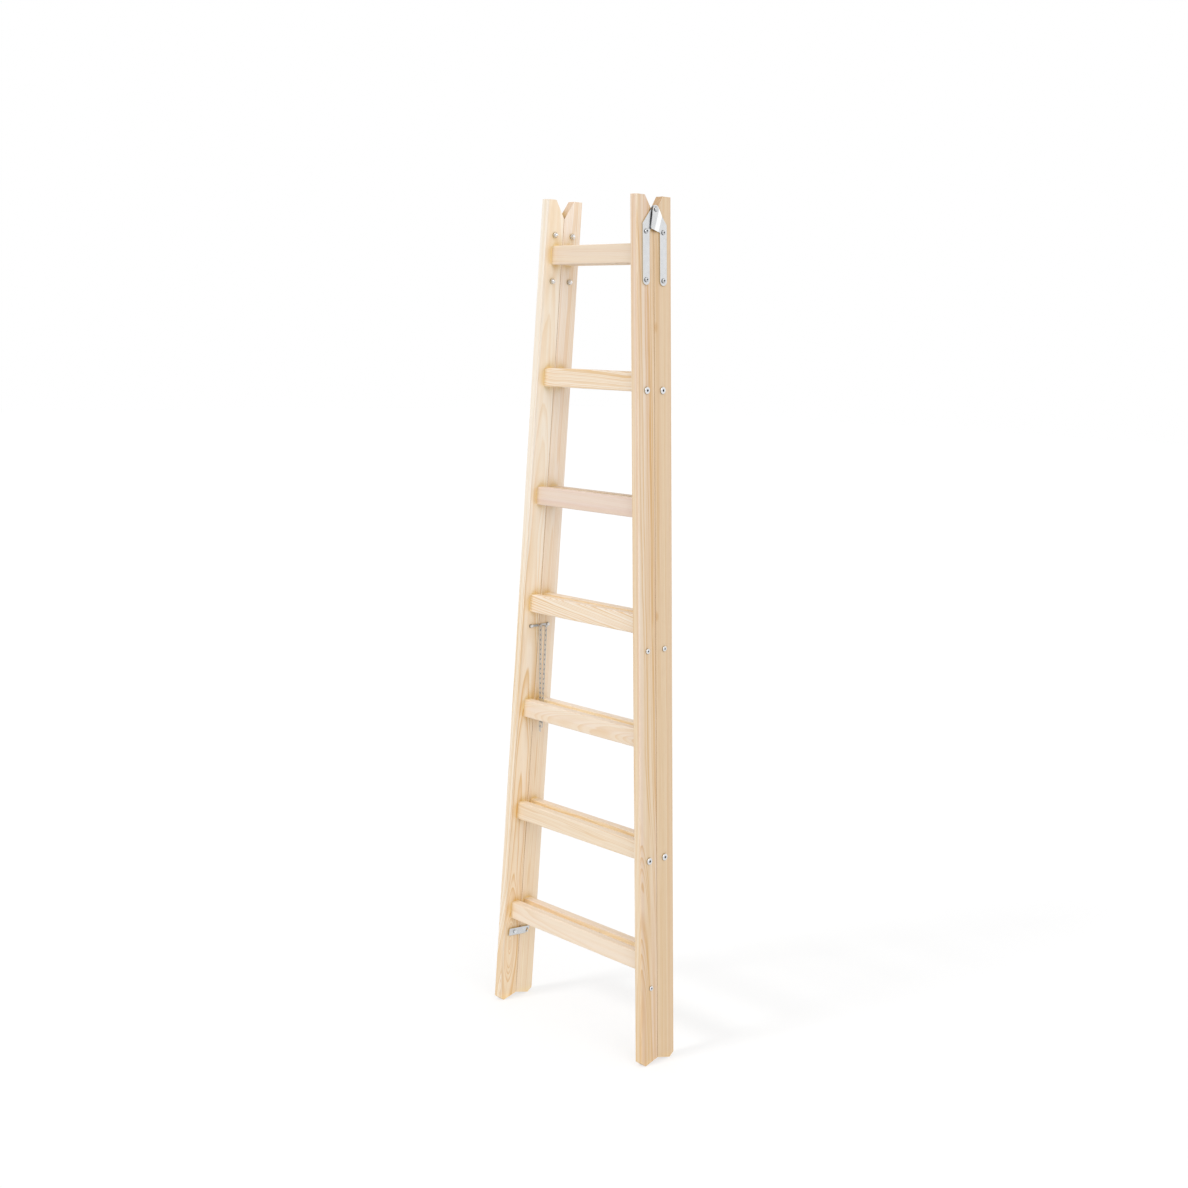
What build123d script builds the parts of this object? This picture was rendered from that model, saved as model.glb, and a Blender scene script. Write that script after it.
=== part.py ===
"""Folding wooden double ladder, shown folded and standing on its feet.

Two ladder frames of pine lie back to back and swing apart on a steel hinge at the top of each
side. A chain on each side stops the opening, and a hook on each side keeps the frames together.
Units are millimetres. X runs across the ladder, Y from the front frame to the rear frame, Z up.
The frames meet on the plane Y = 0 and the ladder stands on Z = 0.
"""

import os
from math import atan, cos, radians, sin, tan

from build123d import *

os.makedirs("parts", exist_ok=True)

# Stiles: how far they stand above the top rung, the widths over them, and the section of one
stile_above_rungs = 134.0
top_width = 324.0
bottom_width = 557.0
stile_thickness = 21.0
stile_depth = 58.0
stile_edge = 1.6

# Notch between the stile tops and the slanted soles
notch_half_width = 30.0
notch_depth = 45.0
opening_angle = 30.0
sole_length = 43.0
toe_rise = 11.0

# Rungs, counted from the floor
lowest_rung = 256.0
lower_pitch = 280.0
upper_pitch = 300.0
lower_count = 5
upper_count = 2
rung_height = 46.0
rung_thickness = 24.0
rung_setback = 23.5
rung_edge = 2.5
tenon_length = 14.0
tenon_height = 26.0
tenon_thickness = 11.0
mortise_clearance = 0.15

# Tie rods in a groove under the second rung from each end of a frame
tie_rod_diameter = 6.0
tie_rod_lift = 4.0
tie_rod_inset = 31.0
tie_nut_diameter = 17.0
tie_nut_height = 3.0
tie_rod_recess = 1.8
head_chamfer = 0.8

# Hinges on the outer faces, with distances down the face from the pivot
pivot_drop = 32.0
leaf_thickness = 3.0
leaf_gap = 1.2
leaf_relief = 0.6
leaf_eye_radius = 9.5
strap_width = 23.0
strap_reach = 176.0
strap_shoulder = 34.0
head_foot = 53.0
lobe_reach = 12.0
lobe_drop = 43.0
lobe_radius = 4.0
joggle_start = 10.2
joggle_run = 18.0
joggle_lean = 19.0
rivet_diameter = 6.0
rivet_head_diameter = 11.0
rivet_head_height = 2.6
rivet_head_rounding = 2.1
rivet_play = 0.3
running_clearance = 0.05

# Hinge bolts with cap nuts
upper_bolt_drop = 52.0
bolt_to_strap_end = 12.0
bolt_diameter = 6.0
bolt_head_diameter = 12.0
bolt_head_height = 3.6
bolt_head_rounding = 2.2
bolt_socket = 4.0
bolt_socket_depth = 2.0
hole_clearance = 0.25
nut_width = 12.0
nut_height = 5.0
nut_dome_radius = 5.6
nut_bore_depth = 6.5
thread_gap = 0.5

# Chains, whose links fill the span between their studs when the ladder is fully open
chain_drop = 61.0
chain_bolt_diameter = 4.0
chain_bolt_proud = 1.0
chain_head_diameter = 13.0
chain_head_height = 3.0
chain_socket = 4.0
chain_socket_depth = 1.6
chain_tab_thickness = 2.0
chain_tab_width = 6.0
chain_eye_diameter = 9.5
chain_stud_diameter = 3.0
chain_stud_inset = 5.0
chain_button_diameter = 6.0
chain_button_height = 2.0
chain_nut_width = 7.0
chain_nut_height = 3.2
front_chain_offset = 12.0
rear_chain_offset = 22.0
link_count = 43
link_wire = 1.8
link_inner_width = 3.4
link_clearance = 0.3
link_play = 0.15

# Latches on the inner faces, below the lowest rung
latch_drop = 62.5
latch_bolt_inset = 35.0
latch_bolt_diameter = 5.0
latch_head_diameter = 12.0
latch_head_height = 2.8
latch_socket = 4.0
latch_socket_depth = 1.5
latch_nut_width = 8.0
latch_nut_height = 3.6
latch_spacer_diameter = 10.0
latch_spacer = 2.0
latch_play = 0.2
latch_thickness = 2.5
latch_width = 19.5
latch_corner = 1.2
latch_tail = 18.5
latch_hook_reach = 45.0
latch_hook_depth = 5.0
latch_web = 5.4
latch_nose = 5.0
latch_rest_tilt = 5.0
latch_pin_diameter = 5.0
latch_pin_sink = 15.0
latch_pin_proud = 7.0
latch_pin_play = 0.6
latch_pin_gap = 1.5

# Places worked out from the sizes above
half_opening = radians(opening_angle / 2)
lower_rungs = [lowest_rung + i * lower_pitch for i in range(lower_count)]
upper_rungs = [lower_rungs[-1] + (i + 1) * upper_pitch for i in range(upper_count)]
rung_levels = lower_rungs + upper_rungs
height = rung_levels[-1] + stile_above_rungs
taper = (bottom_width - top_width) / 2 / height
lean = atan(taper)
sole_rise = sole_length * tan(half_opening)
pivot_height = height - pivot_drop
rung_front = stile_depth - rung_setback
rung_back = rung_front - rung_thickness
mid_depth = stile_depth / 2
lower_bolt_drop = strap_reach - bolt_to_strap_end
tie_rod_depth = stile_depth - tie_rod_inset
tie_rod_rungs = (2, lower_count + upper_count - 1)
tie_rod_levels = [rung_levels[n - 1] - rung_height / 2 + tie_rod_lift for n in tie_rod_rungs]
chain_rung = lower_count - 1
chain_level = rung_levels[chain_rung - 1] - chain_drop
latch_level = lowest_rung - latch_drop
latch_bolt_depth = stile_depth - latch_bolt_inset
reach_across = 2 * bottom_width
reach_through = 2 * stile_thickness

plank = stile_thickness * cos(lean)
chain_span = 2 * (
    (pivot_height - chain_level) * sin(half_opening) + chain_stud_inset * cos(half_opening)
)
link_pitch = (chain_span + chain_stud_diameter + 2 * link_play - link_clearance) / link_count
link_inner_length = link_pitch + link_clearance
rung_below_chain = rung_levels[chain_rung - 2] + rung_height / 2
chain_lean = atan(chain_stud_inset / (chain_level - rung_below_chain))
hook_top = latch_width / 2 - latch_web
hook_lip = hook_top - latch_hook_depth
pin_slot = latch_pin_diameter + 2 * latch_pin_play
hook_wall = latch_hook_reach - pin_slot / 2
latch_end = latch_hook_reach + pin_slot / 2 + latch_nose
pin_level = hook_lip - latch_pin_gap - latch_pin_diameter / 2

FRAMES = {"front": -1, "rear": 1}
SIDES = {"left": -1, "right": 1}
CHAIN_OFFSETS = {"front": front_chain_offset, "rear": rear_chain_offset}


def outer_x(z):
    """Half width over the stiles at height z."""
    return bottom_width / 2 - taper * z


def inner_x(z):
    """Half width between the stiles at height z."""
    return outer_x(z) - stile_thickness


def outer_face(side, z):
    """Plane on a stile's outer face: x towards the rear on the right side, y up the face, z outwards."""
    return Plane(
        origin=(side * outer_x(z), 0, z),
        x_dir=(0, side, 0),
        z_dir=(side * cos(lean), 0, sin(lean)),
    )


def inner_face(side, z):
    """Plane on a stile's inner face: x towards the rear on the left side, y up the face, z inwards."""
    return Plane(
        origin=(side * inner_x(z), 0, z),
        x_dir=(0, -side, 0),
        z_dir=(-side * cos(lean), 0, -sin(lean)),
    )


def across(side, x, y, z):
    """Plane square to X at a point, facing outwards on its side."""
    return Plane(origin=(side * x, y, z), x_dir=(0, side, 0), z_dir=(side, 0, 0))


def tilted(along, up):
    """A point of the latch, from its bolt towards the rear and up, turned to its resting tilt."""
    tilt = radians(latch_rest_tilt)
    return along * cos(tilt) + up * sin(tilt), up * cos(tilt) - along * sin(tilt)


def on_latch_face(side, along, up):
    """The same point in the inner face's own coordinates."""
    rearwards, upwards = tilted(along, up)
    return -side * (rearwards - latch_bolt_depth), upwards


def pin_place(side):
    """Where the latch pin stands on the rear stile's inner face."""
    return Location((*on_latch_face(side, latch_hook_reach, pin_level), 0))


def save(builder, name):
    """Label a finished piece and write its file."""
    builder.part.label = name
    export_step(builder.part, f"parts/{name}.step")


# Stiles
def bolt_places(frame):
    """The two hinge bolts of one stile, as depth and drop down the face from the pivot."""
    return [(frame * mid_depth, -upper_bolt_drop), (frame * mid_depth, -lower_bolt_drop)]


def cross_holes(frame_name):
    """The holes along X through a stile, as diameter, depth and height."""
    frame = FRAMES[frame_name]
    holes = [(tie_rod_diameter, frame * tie_rod_depth, level) for level in tie_rod_levels]
    holes.append((chain_bolt_diameter, frame * mid_depth, chain_level))
    return holes


for frame_name, frame in FRAMES.items():
    for side_name, side in SIDES.items():
        with BuildPart() as stile:
            with BuildSketch(Plane.XZ):
                with BuildLine():
                    Polyline(
                        (side * outer_x(0), 0),
                        (side * outer_x(height), height),
                        (side * inner_x(height), height),
                        (side * inner_x(0), 0),
                        close=True,
                    )
                make_face()
            extrude(amount=-frame * stile_depth)
            fillet(stile.edges().filter_by(lambda edge: edge.length > height / 2), stile_edge)
            with BuildSketch(Plane.YZ):
                with BuildLine():
                    Polyline(
                        (0, sole_rise),
                        (frame * sole_length, 0),
                        (frame * stile_depth, toe_rise),
                        (frame * stile_depth, height),
                        (frame * notch_half_width, height),
                        (0, height - notch_depth),
                        close=True,
                    )
                make_face()
            extrude(amount=reach_across, both=True, mode=Mode.INTERSECT)
            for level in rung_levels:
                mortise_end = inner_x(level) + tenon_length + mortise_clearance
                with Locations((0, frame * (rung_front + rung_back) / 2, level)):
                    Box(
                        2 * mortise_end,
                        tenon_thickness + 2 * mortise_clearance,
                        tenon_height + 2 * mortise_clearance,
                        mode=Mode.SUBTRACT,
                    )
            with BuildSketch(outer_face(side, pivot_height)):
                with Locations(*[(side * y, drop) for y, drop in bolt_places(frame)]):
                    Circle(bolt_diameter / 2 + hole_clearance)
            extrude(amount=reach_through, both=True, mode=Mode.SUBTRACT)
            for diameter, y, level in cross_holes(frame_name):
                with Locations(Location((0, y, level), (0, 90, 0))):
                    Cylinder(diameter / 2 + hole_clearance, reach_across, mode=Mode.SUBTRACT)
            latch_plane = inner_face(side, latch_level)
            if frame_name == "front":
                with Locations(latch_plane.location * Location((side * latch_bolt_depth, 0, 0))):
                    Cylinder(latch_bolt_diameter / 2 + hole_clearance, 2 * reach_through, mode=Mode.SUBTRACT)
            else:
                with Locations(latch_plane.location * pin_place(side)):
                    Cylinder(latch_pin_diameter / 2, 2 * latch_pin_sink, mode=Mode.SUBTRACT)
        save(stile, f"{frame_name}_stile_{side_name}")


# Rungs: shouldered against the stiles, with a tenon at each end
for frame_name, frame in FRAMES.items():
    for number, level in enumerate(rung_levels, start=1):
        rung_bottom = level - rung_height / 2
        rung_top = level + rung_height / 2
        with BuildPart() as rung:
            with BuildSketch(Plane.XZ.offset(-frame * rung_back)):
                with BuildLine():
                    Polyline(
                        (-inner_x(rung_bottom), rung_bottom),
                        (inner_x(rung_bottom), rung_bottom),
                        (inner_x(rung_top), rung_top),
                        (-inner_x(rung_top), rung_top),
                        close=True,
                    )
                make_face()
            extrude(amount=-frame * rung_thickness)
            fillet(rung.edges().filter_by(Axis.X), rung_edge)
            with Locations((0, frame * (rung_front + rung_back) / 2, level)):
                Box(2 * (inner_x(level) + tenon_length), tenon_thickness, tenon_height)
            if number in tie_rod_rungs:
                groove_width = tie_rod_diameter + 2 * hole_clearance
                groove_top = rung_bottom + tie_rod_lift + groove_width / 2
                with Locations((0, frame * tie_rod_depth, groove_top)):
                    Box(
                        reach_across,
                        groove_width,
                        2 * (groove_top - rung_bottom),
                        align=(Align.CENTER, Align.CENTER, Align.MAX),
                        mode=Mode.SUBTRACT,
                    )
        save(rung, f"{frame_name}_rung_{number}")


# Tie rods and the round nuts on their ends
BASE = (Align.CENTER, Align.CENTER, Align.MIN)
TOP = (Align.CENTER, Align.CENTER, Align.MAX)

with BuildPart() as tie_nut:
    Cylinder(tie_nut_diameter / 2, tie_nut_height, align=BASE)
    Cylinder(tie_rod_diameter / 2, tie_nut_height, align=BASE, mode=Mode.SUBTRACT)
    chamfer(tie_nut.faces().sort_by(Axis.Z)[-1].outer_wire().edges(), head_chamfer)

for frame_name, frame in FRAMES.items():
    with BuildPart() as tie_rods:
        for level in tie_rod_levels:
            seat = outer_x(level - tie_nut_diameter / 2)
            with Locations(Location((0, frame * tie_rod_depth, level), (0, 90, 0))):
                Cylinder(tie_rod_diameter / 2, 2 * (seat + tie_nut_height - tie_rod_recess))
    save(tie_rods, f"{frame_name}_tie_rods")
    with BuildPart() as tie_rod_nuts:
        for level in tie_rod_levels:
            seat = outer_x(level - tie_nut_diameter / 2)
            for side in SIDES.values():
                with Locations(across(side, seat, frame * tie_rod_depth, level).location):
                    add(tie_nut.part)
    save(tie_rod_nuts, f"{frame_name}_tie_rod_nuts")


# Hinge leaves: a flat one on the front stile, and one joggled outwards over it on the rear stile
raised = leaf_thickness + leaf_gap
joggle_shift = leaf_thickness * tan(atan(raised / joggle_run) / 2)
head_height = head_foot - strap_shoulder
strap_length = strap_reach - strap_shoulder

for frame_name, frame in FRAMES.items():
    for side_name, side in SIDES.items():
        leaf_plane = outer_face(side, pivot_height)
        strap_u = side * frame * mid_depth
        with BuildPart() as leaf:
            if frame_name == "rear":
                fold = radians(joggle_lean)
                square_to_fold = leaf_plane.x_dir * (side * cos(fold)) - leaf_plane.y_dir * sin(fold)
                section = Plane(
                    origin=leaf_plane.origin,
                    x_dir=square_to_fold,
                    z_dir=square_to_fold.cross(leaf_plane.z_dir),
                )
                with BuildSketch(section):
                    with BuildLine():
                        Polyline(
                            (-strap_reach, raised),
                            (joggle_start, raised),
                            (joggle_start + joggle_run, 0),
                            (strap_reach, 0),
                            (strap_reach, leaf_thickness),
                            (joggle_start + joggle_run + joggle_shift, leaf_thickness),
                            (joggle_start + joggle_shift, raised + leaf_thickness),
                            (-strap_reach, raised + leaf_thickness),
                            close=True,
                        )
                    make_face()
                extrude(amount=2 * strap_reach, both=True)
            with BuildSketch(leaf_plane):
                Circle(leaf_eye_radius)
                with Locations((strap_u, -strap_shoulder - head_height / 2)):
                    Rectangle(strap_width, head_height)
                if frame_name == "rear":
                    with Locations((-side * lobe_reach, -lobe_drop)):
                        Circle(lobe_radius)
                make_hull()
                with Locations((strap_u, -strap_shoulder - strap_length / 2)):
                    SlotOverall(strap_length, strap_width, rotation=90)
            if frame_name == "rear":
                extrude(amount=2 * (raised + leaf_thickness), mode=Mode.INTERSECT)
                eye_radius = rivet_diameter / 2 + running_clearance
            else:
                extrude(amount=leaf_thickness)
                # The leaning face of the rear stile needs room to turn under the eye
                with BuildSketch(leaf_plane):
                    with Locations((side * leaf_eye_radius, 0)):
                        Rectangle(2 * leaf_eye_radius, 4 * leaf_eye_radius)
                extrude(amount=leaf_relief, mode=Mode.SUBTRACT)
                eye_radius = rivet_diameter / 2
            with BuildSketch(leaf_plane):
                with Locations(*[(side * y, drop) for y, drop in bolt_places(frame)]):
                    Circle(bolt_diameter / 2 + hole_clearance)
            extrude(amount=leaf_thickness, mode=Mode.SUBTRACT)
            with Locations(Location((side * outer_x(pivot_height), 0, pivot_height), (0, 90, 0))):
                Cylinder(eye_radius, strap_reach, mode=Mode.SUBTRACT)
        save(leaf, f"{frame_name}_hinge_leaf_{side_name}")


# Rivets that the hinges turn on
rivet_tilt = rivet_head_diameter / 2 * taper
rivet_inner_seat = -rivet_tilt
rivet_outer_seat = (raised + leaf_thickness) / cos(lean) + rivet_tilt + rivet_play

for side_name, side in SIDES.items():
    with BuildPart() as rivet:
        with BuildSketch(across(side, outer_x(pivot_height) + rivet_inner_seat, 0, pivot_height)):
            Circle(rivet_diameter / 2)
        extrude(amount=rivet_outer_seat - rivet_inner_seat)
        with BuildSketch(across(side, outer_x(pivot_height) + rivet_inner_seat, 0, pivot_height)):
            Circle(rivet_head_diameter / 2)
        extrude(amount=-rivet_head_height)
        with BuildSketch(across(side, outer_x(pivot_height) + rivet_outer_seat, 0, pivot_height)):
            Circle(rivet_head_diameter / 2)
        extrude(amount=rivet_head_height)
        for end in (0, -1):
            fillet(rivet.faces().sort_by(Axis.X)[end].edges(), rivet_head_rounding)
    save(rivet, f"hinge_rivet_{side_name}")


# Hinge bolts with a socket head outside and a cap nut inside
with BuildPart() as hinge_bolt:
    Cylinder(bolt_head_diameter / 2, bolt_head_height, align=BASE)
    fillet(hinge_bolt.faces().sort_by(Axis.Z)[-1].edges(), bolt_head_rounding)
    with BuildSketch(Plane.XY.offset(bolt_head_height)):
        RegularPolygon(bolt_socket / 2, 6, major_radius=False)
    extrude(amount=-bolt_socket_depth, mode=Mode.SUBTRACT)
    Cylinder(bolt_diameter / 2, leaf_thickness + plank + nut_bore_depth - thread_gap, align=TOP)

with BuildPart() as cap_nut:
    with BuildSketch():
        RegularPolygon(nut_width / 2, 6, major_radius=False)
    extrude(amount=nut_height)
    with Locations((0, 0, nut_height)):
        Sphere(nut_dome_radius)
    split(bisect_by=Plane.XY, keep=Keep.TOP)
    Cylinder(bolt_diameter / 2, nut_bore_depth, align=BASE, mode=Mode.SUBTRACT)

for frame_name, frame in FRAMES.items():
    with BuildPart() as hinge_bolts:
        for side in SIDES.values():
            seat = outer_face(side, pivot_height).offset(leaf_thickness)
            for y, drop in bolt_places(frame):
                with Locations(seat.location * Location((side * y, drop, 0))):
                    add(hinge_bolt.part)
    save(hinge_bolts, f"{frame_name}_hinge_bolts")
    with BuildPart() as hinge_nuts:
        for side in SIDES.values():
            seat = outer_face(side, pivot_height).offset(-plank)
            for y, drop in bolt_places(frame):
                with Locations(seat.location * Location((side * y, drop, 0), (180, 0, 0))):
                    add(cap_nut.part)
    save(hinge_nuts, f"{frame_name}_hinge_nuts")


# Chain bolts, the tabs they clamp to the inner faces, and their nuts. A stud on each tab carries a chain
for frame_name, frame in FRAMES.items():
    strand_x = inner_x(chain_level) - CHAIN_OFFSETS[frame_name]
    head_seat = outer_x(chain_level - chain_head_diameter / 2)
    button_seat = strand_x - link_wire / 2 - link_clearance
    stud_seat = inner_x(chain_level) - chain_tab_thickness / 2
    nut_seat = inner_x(chain_level + chain_nut_width / 2) - chain_tab_thickness / cos(lean)
    bolt_end = nut_seat - chain_nut_height - chain_bolt_proud
    with BuildPart() as chain_bolt:
        Cylinder(chain_head_diameter / 2, chain_head_height, align=BASE)
        chamfer(chain_bolt.faces().sort_by(Axis.Z)[-1].edges(), head_chamfer)
        with BuildSketch(Plane.XY.offset(chain_head_height)):
            RegularPolygon(chain_socket / 2, 6, major_radius=False)
        extrude(amount=-chain_socket_depth, mode=Mode.SUBTRACT)
        Cylinder(chain_bolt_diameter / 2, head_seat - bolt_end, align=TOP)
        chamfer(chain_bolt.faces().sort_by(Axis.Z)[0].edges(), head_chamfer)
    with BuildPart() as chain_bolts:
        for side in SIDES.values():
            with Locations(across(side, head_seat, frame * mid_depth, chain_level).location):
                add(chain_bolt.part)
    save(chain_bolts, f"{frame_name}_chain_bolts")
    with BuildPart() as chain_stud:
        Cylinder(chain_stud_diameter / 2, stud_seat - button_seat, align=TOP)
        with Locations((0, 0, button_seat - stud_seat)):
            Cylinder(chain_button_diameter / 2, chain_button_height, align=TOP)
        chamfer(chain_stud.faces().sort_by(Axis.Z)[0].edges(), head_chamfer)
    with BuildPart() as chain_tabs:
        for side in SIDES.values():
            with BuildSketch(inner_face(side, chain_level)):
                with Locations((-side * frame * (mid_depth + chain_stud_inset) / 2, 0)):
                    SlotCenterToCenter(mid_depth - chain_stud_inset, chain_tab_width)
                with Locations((-side * frame * mid_depth, 0)):
                    Circle(chain_eye_diameter / 2)
                    Circle(chain_bolt_diameter / 2 + hole_clearance, mode=Mode.SUBTRACT)
            extrude(amount=chain_tab_thickness)
            with Locations(across(side, stud_seat, frame * chain_stud_inset, chain_level).location):
                add(chain_stud.part)
    save(chain_tabs, f"{frame_name}_chain_tabs")
    with BuildPart() as chain_nuts:
        for side in SIDES.values():
            with BuildSketch(across(side, nut_seat, frame * mid_depth, chain_level)):
                RegularPolygon(chain_nut_width / 2, 6, major_radius=False)
                Circle(chain_bolt_diameter / 2, mode=Mode.SUBTRACT)
            extrude(amount=-chain_nut_height)
    save(chain_nuts, f"{frame_name}_chain_nuts")


# Chains: each half hangs from its stud, through the gap between the rungs of the two frames
link_bend = (link_inner_width + link_wire) / 2
link_straight = link_inner_length - link_inner_width
first_link = link_inner_length / 2 - chain_stud_diameter / 2 - link_play
strand_links = {"front": link_count - link_count // 2, "rear": link_count // 2}

with BuildPart() as link:
    with Locations((link_bend, 0, 0), (-link_bend, 0, 0)):
        Cylinder(link_wire / 2, link_straight)
    with Locations(Location((0, 0, link_straight / 2), (90, 0, 0))):
        Torus(link_bend, link_wire / 2, major_angle=180, align=None)
    with Locations(Location((0, 0, -link_straight / 2), (-90, 0, 0))):
        Torus(link_bend, link_wire / 2, major_angle=180, align=None)

for frame_name, frame in FRAMES.items():
    down = Vector(0, -frame * sin(chain_lean), -cos(chain_lean))
    sideways = Vector(0, cos(chain_lean), -frame * sin(chain_lean))
    for side_name, side in SIDES.items():
        strand_x = side * (inner_x(chain_level) - CHAIN_OFFSETS[frame_name])
        hung_from = Vector(strand_x, frame * chain_stud_inset, chain_level)
        places = []
        for number in range(strand_links[frame_name]):
            width_direction = sideways if number % 2 == 0 else Vector(1, 0, 0)
            centre = hung_from + down * (first_link + number * link_pitch)
            places.append(Plane(origin=centre, x_dir=width_direction, z_dir=down * -1).location)
        with BuildPart() as strand:
            with Locations(*places):
                add(link.part)
        save(strand, f"{frame_name}_chain_{side_name}")


# Latches: a hooked strip that turns on a bolt in the front stile and drops over a pin in the rear one
latch_outline = [
    (-latch_tail, -latch_width / 2),
    (hook_wall, -latch_width / 2),
    (hook_wall, hook_top),
    (hook_wall + pin_slot, hook_top),
    (hook_wall + pin_slot, hook_lip),
    (latch_end, hook_lip),
    (latch_end, latch_width / 2),
    (-latch_tail, latch_width / 2),
]

for side_name, side in SIDES.items():
    latch_plane = inner_face(side, latch_level).offset(latch_spacer + latch_play)
    with BuildPart() as latch:
        with BuildSketch(latch_plane):
            with BuildLine():
                Polyline(*[on_latch_face(side, along, up) for along, up in latch_outline], close=True)
            make_face()
            with Locations(on_latch_face(side, 0, 0)):
                Circle(latch_bolt_diameter / 2 + running_clearance, mode=Mode.SUBTRACT)
        extrude(amount=latch_thickness)
        fillet(latch.edges().filter_by(Axis(latch_plane.origin, latch_plane.z_dir)), latch_corner)
    save(latch, f"latch_{side_name}")

latch_stack = latch_spacer + latch_thickness + 2 * latch_play

with BuildPart() as latch_bolt:
    Cylinder(latch_head_diameter / 2, latch_head_height, align=BASE)
    chamfer(latch_bolt.faces().sort_by(Axis.Z)[-1].edges(), head_chamfer)
    with BuildSketch(Plane.XY.offset(latch_head_height)):
        RegularPolygon(latch_socket / 2, 6, major_radius=False)
    extrude(amount=-latch_socket_depth, mode=Mode.SUBTRACT)
    Cylinder(latch_bolt_diameter / 2, plank + latch_stack + latch_nut_height, align=TOP)

with BuildPart() as latch_bolts:
    for side in SIDES.values():
        seat = inner_face(side, latch_level).offset(-plank)
        with Locations(seat.location * Location((side * latch_bolt_depth, 0, 0), (180, 0, 0))):
            add(latch_bolt.part)
save(latch_bolts, "latch_bolts")

with BuildPart() as latch_spacers:
    for side in SIDES.values():
        with BuildSketch(inner_face(side, latch_level)):
            with Locations((side * latch_bolt_depth, 0)):
                Circle(latch_spacer_diameter / 2)
                Circle(latch_bolt_diameter / 2, mode=Mode.SUBTRACT)
        extrude(amount=latch_spacer)
save(latch_spacers, "latch_spacers")

with BuildPart() as latch_nuts:
    for side in SIDES.values():
        with BuildSketch(inner_face(side, latch_level).offset(latch_stack)):
            with Locations((side * latch_bolt_depth, 0)):
                RegularPolygon(latch_nut_width / 2, 6, major_radius=False)
                Circle(latch_bolt_diameter / 2, mode=Mode.SUBTRACT)
        extrude(amount=latch_nut_height)
save(latch_nuts, "latch_nuts")

with BuildPart() as latch_pins:
    for side in SIDES.values():
        with Locations(inner_face(side, latch_level).location * pin_place(side)):
            Cylinder(latch_pin_diameter / 2, latch_pin_proud, align=BASE)
            Cylinder(latch_pin_diameter / 2, latch_pin_sink, align=TOP)
save(latch_pins, "latch_pins")
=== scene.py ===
"""Folding wooden double ladder: looks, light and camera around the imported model."""

import math
import random

import bpy
from mathutils import Matrix, Vector


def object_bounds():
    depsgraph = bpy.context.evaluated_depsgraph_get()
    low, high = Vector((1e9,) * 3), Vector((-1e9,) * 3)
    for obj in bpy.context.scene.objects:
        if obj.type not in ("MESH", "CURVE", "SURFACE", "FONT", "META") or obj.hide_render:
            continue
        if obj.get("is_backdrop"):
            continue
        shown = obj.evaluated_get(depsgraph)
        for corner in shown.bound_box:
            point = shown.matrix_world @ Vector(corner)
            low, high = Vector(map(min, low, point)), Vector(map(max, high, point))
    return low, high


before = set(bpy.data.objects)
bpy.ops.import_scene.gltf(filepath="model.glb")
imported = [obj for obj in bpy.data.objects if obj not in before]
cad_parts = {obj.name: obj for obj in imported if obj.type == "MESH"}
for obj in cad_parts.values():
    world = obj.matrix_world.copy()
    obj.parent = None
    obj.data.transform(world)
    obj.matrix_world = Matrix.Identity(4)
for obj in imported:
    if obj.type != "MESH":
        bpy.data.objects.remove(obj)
cad_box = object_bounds()
scene = bpy.context.scene


# Stiles: four planks of planed pine, sawn along the trunk and set closer together at the top, with
# softened edges. The growth rings run up each plank, and show as streaks and pointed arches on its
# wide faces and as arcs on the sawn ends.
class Flow:
    """One socket of a material's nodes. Arithmetic on it adds Math nodes to the same material."""

    def __init__(self, tree, socket):
        self.tree = tree
        self.socket = socket

    def node(self, kind, settings=None, inputs=None, output=0):
        """Add a node: its settings first, then the values or links of its sockets."""
        made = self.tree.nodes.new(kind)
        for name, value in (settings or {}).items():
            if name == "stops":
                ramp = made.color_ramp.elements
                while len(ramp) < len(value):
                    ramp.new(0.5)
                for stop, (place, level) in zip(ramp, value):
                    stop.position = place
                    stop.color = (level, level, level, 1)
            else:
                setattr(made, name, value)
        for key, value in (inputs or {}).items():
            if isinstance(value, Flow):
                self.tree.links.new(value.socket, made.inputs[key])
            else:
                made.inputs[key].default_value = value
        return Flow(self.tree, made.outputs[output])

    def feeds(self, shader, name):
        """Link this socket to an input of a shader."""
        self.tree.links.new(self.socket, shader.inputs[name])

    def maths(self, operation, first, second=0.0):
        return self.node("ShaderNodeMath", {"operation": operation}, {0: first, 1: second})

    def __add__(self, other):
        return self.maths("ADD", self, other)

    def __sub__(self, other):
        return self.maths("SUBTRACT", self, other)

    def __rsub__(self, other):
        return self.maths("SUBTRACT", other, self)

    def __mul__(self, other):
        return self.maths("MULTIPLY", self, other)

    def __pow__(self, other):
        return self.maths("POWER", self, other)

    def __abs__(self):
        return self.maths("ABSOLUTE", self)

    __radd__ = __add__
    __rmul__ = __mul__


def new_finish(name):
    """A material with a Principled shader, and its object coordinates in metres."""
    material = bpy.data.materials.new(name)
    material.use_nodes = True
    shader = material.node_tree.nodes["Principled BSDF"]
    start = Flow(material.node_tree, None)
    place = start.node("ShaderNodeTexCoord", output="Object")
    xyz = place.node("ShaderNodeSeparateXYZ", inputs={0: place})
    axes = [Flow(material.node_tree, xyz.socket.node.outputs[axis]) for axis in "XYZ"]
    return material, shader, axes


def noise(u, v, w, stretch, offset, detail=2.0):
    """Noise between 0 and 1, stretched by its own scale along each direction of a board."""
    places = {"X": u * stretch[0] + offset, "Y": v * stretch[1], "Z": w * stretch[2]}
    spot = u.node("ShaderNodeCombineXYZ", inputs=places)
    return u.node("ShaderNodeTexNoise", inputs={"Vector": spot, "Scale": 1.0, "Detail": detail})


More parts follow.
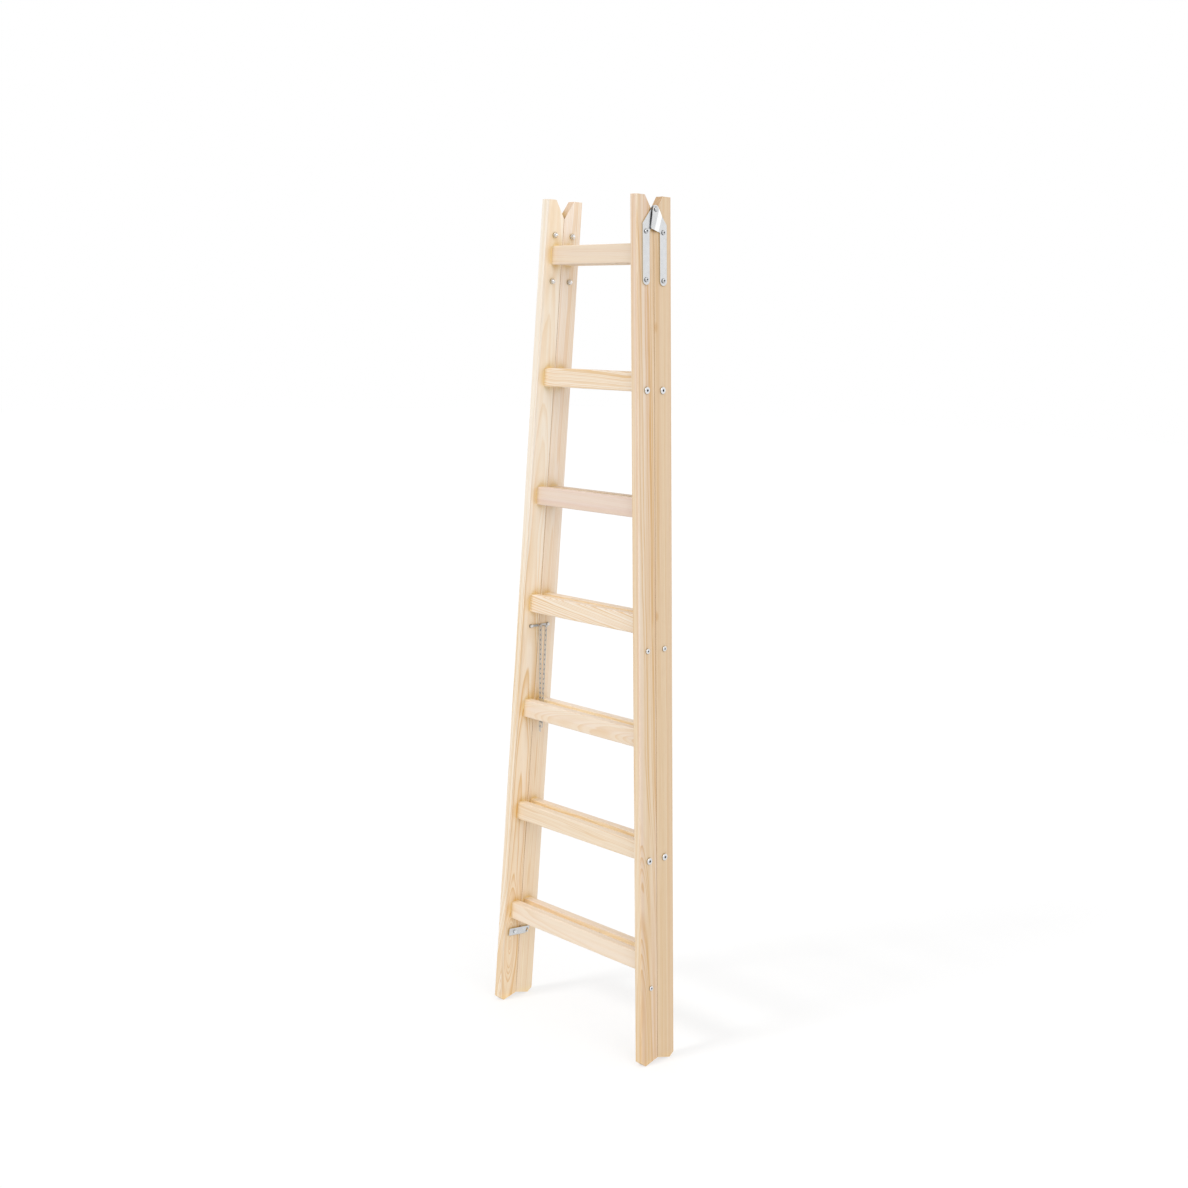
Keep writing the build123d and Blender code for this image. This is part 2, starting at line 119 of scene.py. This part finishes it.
def blended(amount, first, second):
    """Two colours mixed by an amount."""
    colours = [x if isinstance(x, Flow) else (*x, 1.0) for x in (first, second)]
    inputs = {0: amount, 6: colours[0], 7: colours[1]}
    return amount.node("ShaderNodeMix", {"data_type": "RGBA"}, inputs, output=2)


def stained(amount, colour, stain):
    """A colour multiplied by a stain as far as an amount says."""
    settings = {"data_type": "RGBA", "blend_type": "MULTIPLY"}
    return amount.node("ShaderNodeMix", settings, {0: amount, 6: colour, 7: (*stain, 1.0)}, output=2)


def between(value, low, high):
    """0 below low, 1 above high and a soft step from one to the other."""
    inputs = {"Value": value, "From Min": low, "From Max": high}
    return value.node("ShaderNodeMapRange", {"interpolation_type": "SMOOTHSTEP"}, inputs)


def closed_in(flow, reach):
    """How far a point is shut in by its surroundings, from 0 in the open to 1 in a narrow gap."""
    settings = {"samples": 8}
    light = flow.node("ShaderNodeAmbientOcclusion", settings, {"Distance": reach}, output="AO")
    return 1.0 - light


def relief(height, strength, depth):
    """A surface that rises and falls with a height."""
    inputs = {"Strength": strength, "Distance": depth, "Height": height}
    return height.node("ShaderNodeBump", None, inputs)


ring_stops = [(0.0, 0.05), (0.40, 0.05), (0.78, 0.75), (0.92, 1.0), (1.0, 0.05)]
blush_stain, band_stain = (0.965, 0.925, 0.985), (0.93, 0.84, 0.70)
latewood_stain, pore_stain, knot_stain = (0.87, 0.70, 0.47), (0.82, 0.72, 0.60), (0.91, 0.81, 0.69)
# Colour of painted bounce light: the warm tint of corners shut in by other parts.
painted_bounce_glow = (1.16, 1.13, 0.90)


def pine(name, board, tones, heart, drift, span=(0.0, 2.1), ring=0.0045, contrast=0.8,
         streaks=0.5, pink=0.3, knots=(), sapwood=None, sway=(0.0125, 1.6), crook=None, calm=None,
         shade_and_stains=None, seed=0.0):
    """Planed pine. board gives a point's thickness, width and length directions on the board, tones
    the colours of its two ends, which lie at span, heart where the trunk's middle lay, and drift how
    far it strays along the length. ring is the width of a year. knots are places along the width and
    the length, with a size, and sapwood a paler edge: where across the width it starts and is full,
    and its colour. sway is how far and how often the grain waves, crook a bend of the trunk: how far,
    from where and to where. calm is where along the board its figure starts to fade and is faint.
    shade_and_stains adds the painted shade and the stains of one kind of board."""
    material, shader, axes = new_finish(name)
    u, v, w = board(*axes)
    early = blended(between(w, *span), *tones)
    if sapwood:
        early = blended(between(v, *sapwood[:2]) * 0.8, early, sapwood[2])
    bend = noise(u, v, w, (4, 4, sway[1]), seed) - 0.5
    across = u + w * drift[0] + bend * sway[0] - heart[0]
    if crook:
        across = across + between(w, *crook[1:]) * crook[0]
    up = v + w * drift[1] + bend * (sway[0] * 1.3) - heart[1]
    from_heart = (across ** 2 + up ** 2) ** 0.5
    wobble = noise(u, v, w, (45, 45, 5), seed + 7.3)
    years = from_heart.node(
        "ShaderNodeTexNoise", {"noise_dimensions": "1D"},
        {"W": from_heart * 120 + seed, "Scale": 1.0, "Detail": 0.0},
    )
    rings = from_heart * (1 / ring) + wobble * 0.9 + years * 2.2
    season = rings.maths("FRACT", rings)
    latewood = season.node("ShaderNodeValToRGB", {"stops": ring_stops}, {0: season})
    strength = noise(u, v, w, (30, 30, 1.1), seed + 11.9)
    shown = latewood * (strength * 1.3 + 0.1) * contrast
    if calm:
        shown = shown * (1.0 - between(w, *calm) * 0.68)
    blush = between(noise(u, v, w, (48, 48, 0.7), seed + 21.7), 0.38, 0.68)
    band = between(noise(u, v, w, (62, 62, 0.6), seed + 33.3, 3.0), 0.42, 0.66)
    fine = noise(u, v, w, (1500, 1500, 22), seed + 5.0, 3.0)
    pores = between(fine, 0.54, 0.78)
    colour = stained(blush * pink, early, blush_stain)
    colour = stained(band * streaks, colour, band_stain)
    colour = stained(shown, colour, latewood_stain)
    colour = stained(pores * 0.45, colour, pore_stain)
    for knot_v, knot_w, knot_size in knots:
        away = ((v - knot_v) ** 2 + ((w - knot_w) * 0.6) ** 2) ** 0.5 + (wobble - 0.5) * 0.006
        colour = stained(1.0 - between(away, 0.2 * knot_size, knot_size), colour, knot_stain)
    # Painted bounce light: corners shut in by other parts turn warmer and paler.
    colour = stained(between(closed_in(u, 0.045), 0.22, 0.62), colour, painted_bounce_glow)
    # Painted shade and stains of one kind of board, where it has them.
    if shade_and_stains:
        colour = shade_and_stains(colour, v, w)
    colour.feeds(shader, "Base Color")
    (latewood * -0.10 + fine * 0.16 + 0.50).feeds(shader, "Roughness")
    relief(shown * 0.5 + pores * -0.5, strength=0.18, depth=0.0004).feeds(shader, "Normal")
    shader.inputs["Specular IOR Level"].default_value = 0.32
    return material


def dress(node, material):
    """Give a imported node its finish."""
    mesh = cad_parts[node].data
    mesh.materials.clear()
    mesh.materials.append(material)


half_foot, half_head, stile_height = 0.2785, 0.162, 2.110
stile_taper = (half_foot - half_head) / stile_height
# Painted amber shade round the rungs, painted shade and dirt in the joint, and sawn end grain.
painted_amber_shade, joint_dirt_and_shade, sawn_shade = (0.80, 0.71, 0.52), (0.46, 0.28, 0.12), (0.78, 0.68, 0.58)


def up_stile(side):
    """Directions in a stile: in from its outer face, towards the rear, and up."""
    return lambda x, y, z: (x * side + z * stile_taper - half_foot, y, z)


def stile_shade_and_stains(colour, v, w):
    """Painted amber shade round the rungs, a dark line of painted shade and dirt where the two
    frames meet, and browner sawn ends.
    """
    off_joint = between(abs(v), 0.002, 0.004)
    off_floor = between(w, 0.02, 0.08)
    # Painted amber shade on the stile round each rung's end, and round the nuts and chain on it.
    near_rung = between(closed_in(v, 0.045), 0.12, 0.42)
    colour = stained(near_rung * off_joint * off_floor, colour, painted_amber_shade)
    # Painted shade together with dirt: the groove where the two frames meet turns dark brown.
    in_joint = between(closed_in(v, 0.006), 0.10, 0.34) * (1.0 - off_joint)
    colour = stained(in_joint, colour, joint_dirt_and_shade)
    facing = v.node("ShaderNodeTexCoord", output="Normal")
    upwards = v.node("ShaderNodeSeparateXYZ", None, {0: facing}, "Z")
    return stained(between(abs(upwards), 0.25, 0.60), colour, sawn_shade)


stile_boards = {
    "front_stile_left": dict(
        tones=((0.900, 0.738, 0.548), (0.960, 0.868, 0.742)), span=(0.0, 1.6), heart=(0.004, -0.030),
        drift=(0.020, 0.003), ring=0.0050, contrast=1.45, streaks=0.40, pink=0.1, seed=2.0,
        sway=(0.022, 2.2), crook=(0.050, 0.0, 0.36), calm=(1.00, 1.40),
        sapwood=(-0.048, -0.057, (0.870, 0.800, 0.705)),
    ),
    "front_stile_right": dict(
        tones=((0.738, 0.600, 0.446), (0.758, 0.628, 0.494)), span=(0.6, 1.6), heart=(0.022, -0.052),
        drift=(-0.004, 0.008), ring=0.0060, contrast=1.25, streaks=1.0, pink=0.9, seed=9.0,
        crook=(-0.035, 0.0, 0.8),
        sapwood=(-0.050, -0.058, (0.845, 0.742, 0.612)),
    ),
    "rear_stile_left": dict(
        tones=((0.895, 0.750, 0.565), (0.930, 0.830, 0.720)), span=(0.0, 1.7), heart=(-0.090, 0.075),
        drift=(0.004, -0.004), contrast=0.75, streaks=0.4, pink=0.3, seed=17.0,
    ),
    "rear_stile_right": dict(
        tones=((0.712, 0.560, 0.388), (0.724, 0.575, 0.412)), span=(0.5, 1.7), heart=(0.070, -0.055),
        drift=(0.003, 0.006), contrast=0.70, streaks=0.5, pink=0.3, seed=31.0,
        knots=((0.004, 1.805, 0.011), (0.003, 1.116, 0.009)),
    ),
}
for stile, cut in stile_boards.items():
    side = -1 if stile.endswith("left") else 1
    dress(stile, pine("pine_" + stile, up_stile(side), shade_and_stains=stile_shade_and_stains, **cut))


# Rungs: flat bars of the same pine, shouldered and tenoned into the stiles. Their rings run
# along the bar, and each was sawn from another board, so no two show the same figure.
lower_pitch, upper_pitch, lowest_rung = 0.280, 0.300, 0.256
rung_levels = [lowest_rung + lower_pitch * step for step in range(5)]
rung_levels += [rung_levels[-1] + upper_pitch * step for step in (1, 2)]


def along_rung(level):
    """Directions in a rung: up from its middle, towards the rear, and across the ladder."""
    return lambda x, y, z: (z - level, y, x)


cream, rose, buff = (0.840, 0.718, 0.585), (0.775, 0.645, 0.545), (0.800, 0.675, 0.540)
straw, pale, dusky = (0.832, 0.706, 0.556), (0.875, 0.770, 0.650), (0.660, 0.545, 0.435)
front_bars = [
    dict(tones=(cream, cream), heart=(0.020, 0.090), drift=(0.020, 0.020), contrast=0.50, pink=0.1),
    dict(tones=(straw, straw), heart=(0.060, 0.030), drift=(0.035, 0.020), contrast=0.80, pink=0.1),
    dict(tones=(cream, cream), heart=(-0.010, 0.012), drift=(-0.020, 0.075), contrast=0.62, pink=0.2),
    dict(
        tones=(pale, pale), heart=(-0.070, 0.030), drift=(0.160, 0.030), ring=0.0036, contrast=1.40,
        pink=0.2,
    ),
    dict(tones=(rose, rose), heart=(0.090, 0.060), drift=(0.010, 0.010), contrast=0.30, pink=0.6),
    dict(
        tones=(pale, pale), heart=(-0.065, 0.020), drift=(0.050, 0.020), contrast=1.35, pink=0.2,
        sway=(0.045, 6.0),
    ),
    dict(tones=(buff, buff), heart=(0.075, 0.070), drift=(0.006, 0.004), contrast=0.40, pink=0.3),
]
rear_tones = (cream, cream, pale, cream, dusky, pale, cream)
sawyer = random.Random(41)
for number, (level, cut) in enumerate(zip(rung_levels, front_bars), start=1):
    bar = f"front_rung_{number}"
    dress(bar, pine("pine_" + bar, along_rung(level), streaks=0.3, seed=40.0 + 3 * number, **cut))
    rear_cut = dict(
        tones=(rear_tones[number - 1],) * 2,
        heart=(sawyer.uniform(-0.07, 0.07), sawyer.uniform(-0.08, -0.02)),
        drift=(sawyer.uniform(-0.06, 0.06), sawyer.uniform(-0.06, 0.06)),
        contrast=sawyer.uniform(0.40, 0.8),
        pink=sawyer.uniform(0.1, 0.7),
    )
    bar = f"rear_rung_{number}"
    dress(bar, pine("pine_" + bar, along_rung(level), streaks=0.3, seed=80.0 + 3 * number, **rear_cut))


# Tie rods: plain steel rods under two rungs of each frame, which pull its stiles together. A round
# nut with a socket closes each end. All the small turned pieces have the same bright zinc plating.
# Colours of clean and clouded zinc, and of the painted shade and dust in its recesses.
bright_zinc, dull_zinc, dust_and_shade_stain = (0.745, 0.752, 0.758), (0.680, 0.692, 0.704), (0.10, 0.10, 0.11)


def zinc(name, polish, cloud, shade, seed, dust_and_shade=(0.005, 0.22, 0.50), dust_and_shade_at=None):
    """Bright zinc plating. polish is its mean roughness, cloud the size of its patches and shade how
    bright it is. Recesses turn dark, painted shade together with a little dust: dust_and_shade gives
    how near their walls are, and how far shut in a point is where the dark starts and is full.
    dust_and_shade_at keeps it to one place."""
    material, shader, (x, y, z) = new_finish(name)
    patches = noise(x, y, z, (cloud, cloud, cloud), seed, 3.0)
    rolled = noise(x, y, z, (900, 900, 40), seed + 4.0, 2.0)
    clean, clouded = ([part * shade for part in colour] for colour in (bright_zinc, dull_zinc))
    colour = blended((patches - 0.3) * 1.6, clean, clouded)
    # Painted shade, with a little dust, darkens the recesses.
    dust_and_shade_mask = between(closed_in(x, dust_and_shade[0]), *dust_and_shade[1:])
    if dust_and_shade_at:
        dust_and_shade_mask = dust_and_shade_mask * dust_and_shade_at(y, z)
    stained(dust_and_shade_mask, colour, dust_and_shade_stain).feeds(shader, "Base Color")
    (patches * 0.10 + rolled * 0.05 + (polish - 0.075)).feeds(shader, "Roughness")
    relief(rolled, strength=0.05, depth=0.0002).feeds(shader, "Normal")
    shader.inputs["Metallic"].default_value = 1.0
    return material


# Bare steel, made dark so that each rod's end is painted shade in its nut's socket.
bare_steel_and_shade = zinc("bare_steel_and_shade", polish=0.42, cloud=300.0, shade=0.30, seed=19.0)
zinc_turned = zinc("zinc_turned", polish=0.24, cloud=240.0, shade=1.15, seed=6.0)
for end in ("front", "rear"):
    dress(f"{end}_tie_rods", bare_steel_and_shade)
    dress(f"{end}_tie_rod_nuts", zinc_turned)


# Hinges: two leaves on each side, cut and pressed from steel plate, the rear one joggled out over
# the front one. They turn on a rivet, and each is held by two bolts with cap nuts inside.
fold_levels, fold_sides = (2.02, 2.04), (0.012, 0.020)


def in_hinge_fold(y, z):
    """1 between the two leaves of a hinge, below its rivet, and 0 away from there."""
    return between(z, *fold_levels) * (1.0 - between(abs(y), *fold_sides))


# Painted shade in the narrow gap between the two leaves of each hinge, below its rivet.
zinc_plate = zinc(
    "zinc_plate", polish=0.24, cloud=90.0, shade=1.0, seed=1.0,
    dust_and_shade=(0.010, 0.16, 0.38), dust_and_shade_at=in_hinge_fold,
)
zinc_bolt = zinc("zinc_bolt", polish=0.26, cloud=240.0, shade=0.86, seed=9.0)
for hand in ("left", "right"):
    dress(f"front_hinge_leaf_{hand}", zinc_plate)
    dress(f"rear_hinge_leaf_{hand}", zinc_plate)
    dress(f"hinge_rivet_{hand}", zinc_bolt)
for end in ("front", "rear"):
    dress(f"{end}_hinge_bolts", zinc_bolt)
    dress(f"{end}_hinge_nuts", zinc_turned)


# Chains: bent and welded wire links that stop the frames from sliding apart. A tab behind a bolt
# holds each end on the inner face of a stile.
zinc_wire = zinc("zinc_wire", polish=0.30, cloud=300.0, shade=0.85, seed=12.0)
for end in ("front", "rear"):
    dress(f"{end}_chain_left", zinc_wire)
    dress(f"{end}_chain_right", zinc_wire)
    dress(f"{end}_chain_tabs", zinc_wire)
    dress(f"{end}_chain_bolts", zinc_turned)
    dress(f"{end}_chain_nuts", zinc_turned)


# Latches: a hooked strip of steel plate on each side, which turns on a bolt through the front stile
# and drops over a pin in the rear one, to keep the ladder folded.
for strip in ("latch_left", "latch_right"):
    dress(strip, zinc_plate)
for fastener in ("latch_bolts", "latch_spacers", "latch_nuts", "latch_pins"):
    dress(fastener, zinc_turned)


# Studio: a plain white floor that keeps a faint shadow, an even white sky, and two soft lamps,
# the stronger one wide and from the right, the other from the front and a little to the left.
bpy.ops.mesh.primitive_plane_add(size=60.0)
floor = bpy.context.object
floor.name = "studio_floor"
floor_paint = bpy.data.materials.new("floor_paint")
floor_paint.use_nodes = True
floor_nodes = floor_paint.node_tree.nodes
floor_shader = floor_nodes["Principled BSDF"]
floor_shader.inputs["Base Color"].default_value = (0.80, 0.80, 0.80, 1)
floor_shader.inputs["Roughness"].default_value = 0.9
floor_shader.inputs["Specular IOR Level"].default_value = 0.0
paint = Flow(floor_paint.node_tree, floor_shader.outputs[0])
glow = paint.node("ShaderNodeEmission", None, {"Color": (1, 1, 1, 1), "Strength": 1.15})
sheen = paint.node("ShaderNodeEmission", None, {"Color": (1, 1, 1, 1), "Strength": 0.88})
seen = paint.node("ShaderNodeLightPath", output="Is Camera Ray")
mirrored = paint.node("ShaderNodeLightPath", output="Is Glossy Ray")
lifted = paint.node("ShaderNodeMixShader", None, {0: seen * 0.55, 1: paint, 2: glow})
lifted = paint.node("ShaderNodeMixShader", None, {0: mirrored, 1: lifted, 2: sheen})
lifted.feeds(floor_nodes["Material Output"], "Surface")
floor.data.materials.append(floor_paint)
floor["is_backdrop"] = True

world = bpy.data.worlds.new("studio_sky")
scene.world = world
world.use_nodes = True
background = world.node_tree.nodes["Background"]
sky = Flow(world.node_tree, background.outputs[0])
seen = sky.node("ShaderNodeLightPath", output="Is Camera Ray")
mirrored = sky.node("ShaderNodeLightPath", output="Is Glossy Ray")
through = sky.node("ShaderNodeLightPath", output="Is Transmission Ray")
ambient = 0.70
facing = sky.node("ShaderNodeTexCoord", output="Generated")
rearwards = sky.node("ShaderNodeSeparateXYZ", None, {0: facing}, "Y")
panels = between(rearwards, -0.45, 0.80) * 0.66 + between(rearwards, 0.76, 0.97) * 0.50 + 0.34
sky_strength = (seen + through) * (1.0 - ambient) + mirrored * (panels - ambient) + ambient
sky_strength.feeds(background, "Strength")
background.inputs["Color"].default_value = (1, 1, 1, 1)

for lamp_name, towards, power, spread in (
    ("window_lamp", (0.20, 0.94, -0.95), 1.00, 12.0),
    ("fill_lamp", (-0.90, 0.25, -0.50), 1.10, 60.0),
):
    lamp = bpy.data.lights.new(lamp_name, "SUN")
    lamp.energy = power
    lamp.angle = math.radians(spread)
    lamp_object = bpy.data.objects.new(lamp_name, lamp)
    lamp_object.rotation_euler = Vector(towards).to_track_quat("-Z", "Y").to_euler()
    scene.collection.objects.link(lamp_object)

scene.view_settings.view_transform = "Standard"


# Camera: where the photograph was taken from, a little above the middle of the ladder.
picture_width, focal_length = 1188.0, 1612.2187
camera_place = (2.857989, -2.788073, 1.761412)
yaw, pitch, roll = -0.797508, 0.153672, -0.029807
forward = Vector((math.sin(yaw) * math.cos(pitch), math.cos(yaw) * math.cos(pitch), -math.sin(pitch)))
level_right = Vector((math.cos(yaw), -math.sin(yaw), 0.0))
level_down = forward.cross(level_right)
right = level_right * math.cos(roll) + level_down * math.sin(roll)
down = level_down * math.cos(roll) - level_right * math.sin(roll)
lens = bpy.data.cameras.new("camera")
lens.sensor_width = 36.0
lens.lens = lens.sensor_width * focal_length / picture_width
camera = bpy.data.objects.new("camera", lens)
turned = Matrix((right, -down, -forward)).transposed().to_4x4()
camera.matrix_world = Matrix.Translation(camera_place) @ turned
scene.collection.objects.link(camera)
scene.camera = camera


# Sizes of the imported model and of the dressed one, side by side.
boxes = {"cad": cad_box, "visual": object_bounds()}
boxes = {model: [list(corner) for corner in corners] for model, corners in boxes.items()}
